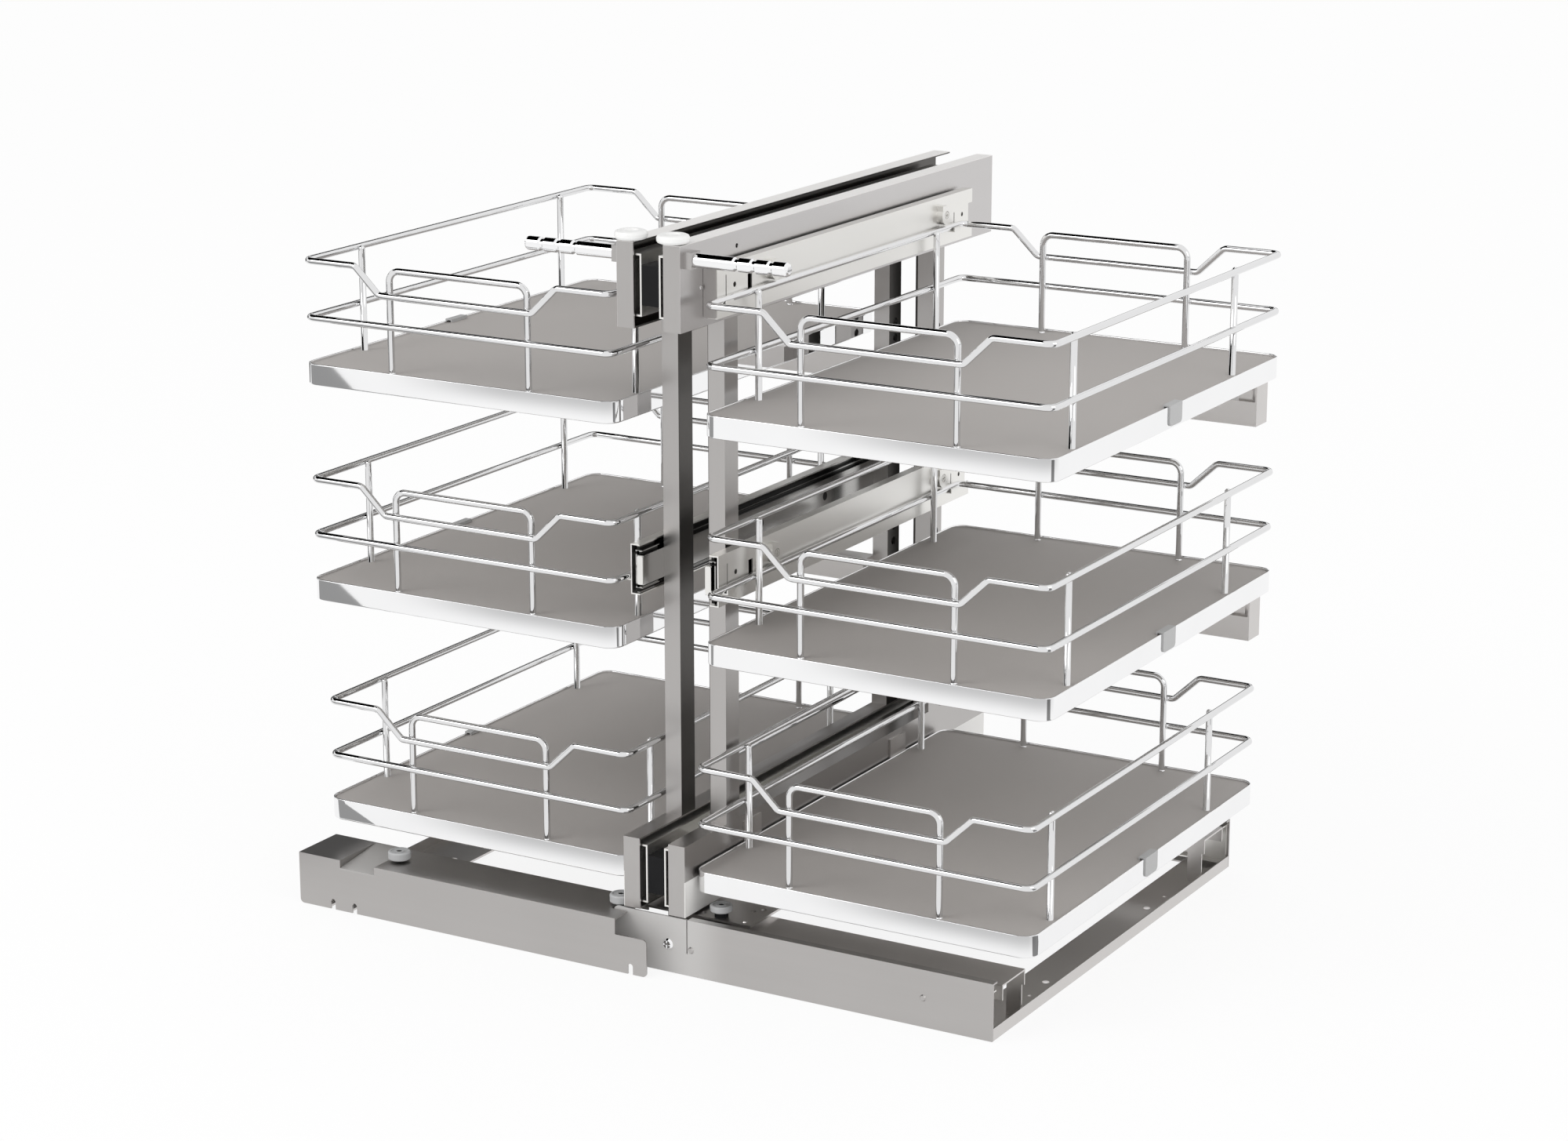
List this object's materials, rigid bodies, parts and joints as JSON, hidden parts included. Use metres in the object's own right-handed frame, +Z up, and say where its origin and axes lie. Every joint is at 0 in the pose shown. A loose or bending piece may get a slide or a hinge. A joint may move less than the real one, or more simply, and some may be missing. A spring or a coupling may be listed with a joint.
{
  "type": "blind corner pull out",
  "caption": "Corner cupboard pull out with twin sliding frames, chrome wire baskets with solid trays, telescopic slides and a sideways carriage base.",
  "frame": {"origin": "centre of the whole unit on the cupboard floor, with the frames closed and at their left stop", "axes": "+Z up, the frames pull out towards -Y, the carriage moves towards +X"},
  "size_m": [0.7404, 0.587, 0.6471],
  "materials": {
    "nickel_steel": "satin nickel plated sheet",
    "slide_steel": "zinc plated, satin",
    "chrome": "polished chrome plate",
    "tray_laminate": "matt taupe grey",
    "black_plastic": "moulded",
    "grey_nylon": "smooth",
    "white_nylon": "smooth"
  },
  "bodies": {
    "base": {"right_front_rail": "nickel_steel", "right_rear_rail": "nickel_steel", "rail_top_sheets": "nickel_steel", "left_front_cover": "nickel_steel", "left_rear_cover": "nickel_steel", "floor_strips": "nickel_steel", "cross_slide_outers": "slide_steel", "base_fasteners": "chrome", "roller_studs": "black_plastic"},
    "inner_stop_roller": {"inner_stop_roller": "grey_nylon"},
    "outer_stop_roller": {"outer_stop_roller": "grey_nylon"},
    "cross_middle": {"cross_slide_middles": "slide_steel"},
    "carriage": {"cross_slide_inners": "slide_steel", "carriage_plates": "nickel_steel", "centre_column": "nickel_steel", "centre_rails": "slide_steel", "spacer_blocks": "black_plastic"},
    "guide_roller": {"guide_roller": "grey_nylon"},
    "left_frame": {"left_top_channel": "nickel_steel", "left_bottom_channel": "nickel_steel", "left_posts": "nickel_steel", "left_slide_inners": "slide_steel", "left_handle": "chrome", "left_support_arms": "nickel_steel", "left_bottom_tray": "tray_laminate", "left_bottom_rim": "chrome", "left_bottom_wires": "chrome"},
    "left_frame_middle": {"left_frame_middles": "slide_steel"},
    "left_top_roller": {"left_top_roller": "white_nylon"},
    "left_top_basket": {"left_top_tray": "tray_laminate", "left_top_rim": "chrome", "left_top_wires": "chrome", "left_top_slide": "slide_steel"},
    "left_top_slide_middle": {"left_top_middle": "slide_steel"},
    "left_middle_basket": {"left_middle_tray": "tray_laminate", "left_middle_rim": "chrome", "left_middle_wires": "chrome", "left_middle_slide": "slide_steel"},
    "left_middle_slide_middle": {"left_middle_middle": "slide_steel"},
    "right_frame": {"right_top_channel": "nickel_steel", "right_bottom_channel": "nickel_steel", "right_posts": "nickel_steel", "right_slide_inners": "slide_steel", "right_handle": "chrome", "right_support_arms": "nickel_steel", "right_bottom_tray": "tray_laminate", "right_bottom_rim": "chrome", "right_bottom_wires": "chrome"},
    "right_frame_middle": {"right_frame_middles": "slide_steel"},
    "right_top_roller": {"right_top_roller": "white_nylon"},
    "right_top_basket": {"right_top_tray": "tray_laminate", "right_top_rim": "chrome", "right_top_wires": "chrome", "right_top_slide": "slide_steel"},
    "right_top_slide_middle": {"right_top_middle": "slide_steel"},
    "right_middle_basket": {"right_middle_tray": "tray_laminate", "right_middle_rim": "chrome", "right_middle_wires": "chrome", "right_middle_slide": "slide_steel"},
    "right_middle_slide_middle": {"right_middle_middle": "slide_steel"}
  },
  "joints": [
    {"name": "carriage_slide", "type": "slide", "parent": "base", "child": "carriage", "axis": [1, 0, 0], "range_m": [0, 0.27]},
    {"name": "cross_middle_slide", "type": "slide", "parent": "base", "child": "cross_middle", "axis": [1, 0, 0], "range_m": [0, 0.135]},
    {"name": "left_frame_pull", "type": "slide", "parent": "carriage", "child": "left_frame", "axis": [0, -1, 0], "range_m": [0, 0.45]},
    {"name": "left_frame_middle_slide", "type": "slide", "parent": "carriage", "child": "left_frame_middle", "axis": [0, -1, 0], "range_m": [0, 0.225]},
    {"name": "left_top_roller_spin", "type": "hinge", "parent": "left_frame", "child": "left_top_roller", "pos_m": [-0.0205, -0.265, 0.6433], "axis": [0, 0, 1], "continuous": true},
    {"name": "left_top_basket_pull", "type": "slide", "parent": "left_frame", "child": "left_top_basket", "axis": [0, -1, 0], "range_m": [0, 0.4]},
    {"name": "left_top_middle_slide", "type": "slide", "parent": "left_frame", "child": "left_top_slide_middle", "axis": [0, -1, 0], "range_m": [0, 0.2]},
    {"name": "left_middle_basket_pull", "type": "slide", "parent": "left_frame", "child": "left_middle_basket", "axis": [0, -1, 0], "range_m": [0, 0.4]},
    {"name": "left_middle_middle_slide", "type": "slide", "parent": "left_frame", "child": "left_middle_slide_middle", "axis": [0, -1, 0], "range_m": [0, 0.2]},
    {"name": "right_frame_pull", "type": "slide", "parent": "carriage", "child": "right_frame", "axis": [0, -1, 0], "range_m": [0, 0.45]},
    {"name": "right_frame_middle_slide", "type": "slide", "parent": "carriage", "child": "right_frame_middle", "axis": [0, -1, 0], "range_m": [0, 0.225]},
    {"name": "right_top_roller_spin", "type": "hinge", "parent": "right_frame", "child": "right_top_roller", "pos_m": [0.0205, -0.265, 0.6433], "axis": [0, 0, 1], "continuous": true},
    {"name": "right_top_basket_pull", "type": "slide", "parent": "right_frame", "child": "right_top_basket", "axis": [0, -1, 0], "range_m": [0, 0.4]},
    {"name": "right_top_middle_slide", "type": "slide", "parent": "right_frame", "child": "right_top_slide_middle", "axis": [0, -1, 0], "range_m": [0, 0.2]},
    {"name": "right_middle_basket_pull", "type": "slide", "parent": "right_frame", "child": "right_middle_basket", "axis": [0, -1, 0], "range_m": [0, 0.4]},
    {"name": "right_middle_middle_slide", "type": "slide", "parent": "right_frame", "child": "right_middle_slide_middle", "axis": [0, -1, 0], "range_m": [0, 0.2]},
    {"name": "inner_stop_roller_spin", "type": "hinge", "parent": "base", "child": "inner_stop_roller", "pos_m": [-0.04205, -0.259, 0.0541], "axis": [0, 0, 1], "continuous": true},
    {"name": "outer_stop_roller_spin", "type": "hinge", "parent": "base", "child": "outer_stop_roller", "pos_m": [-0.275, -0.2665, 0.0541], "axis": [0, 0, 1], "continuous": true},
    {"name": "guide_roller_spin", "type": "hinge", "parent": "carriage", "child": "guide_roller", "pos_m": [0.052, -0.2455, 0.058], "axis": [0, 0, 1], "continuous": true}
  ],
  "couplings": [
    {"joint": "cross_middle_slide", "follows": "carriage_slide", "ratio": 0.5},
    {"joint": "left_frame_middle_slide", "follows": "left_frame_pull", "ratio": 0.5},
    {"joint": "left_top_middle_slide", "follows": "left_top_basket_pull", "ratio": 0.5},
    {"joint": "left_middle_middle_slide", "follows": "left_middle_basket_pull", "ratio": 0.5},
    {"joint": "right_frame_middle_slide", "follows": "right_frame_pull", "ratio": 0.5},
    {"joint": "right_top_middle_slide", "follows": "right_top_basket_pull", "ratio": 0.5},
    {"joint": "right_middle_middle_slide", "follows": "right_middle_basket_pull", "ratio": 0.5}
  ]
}
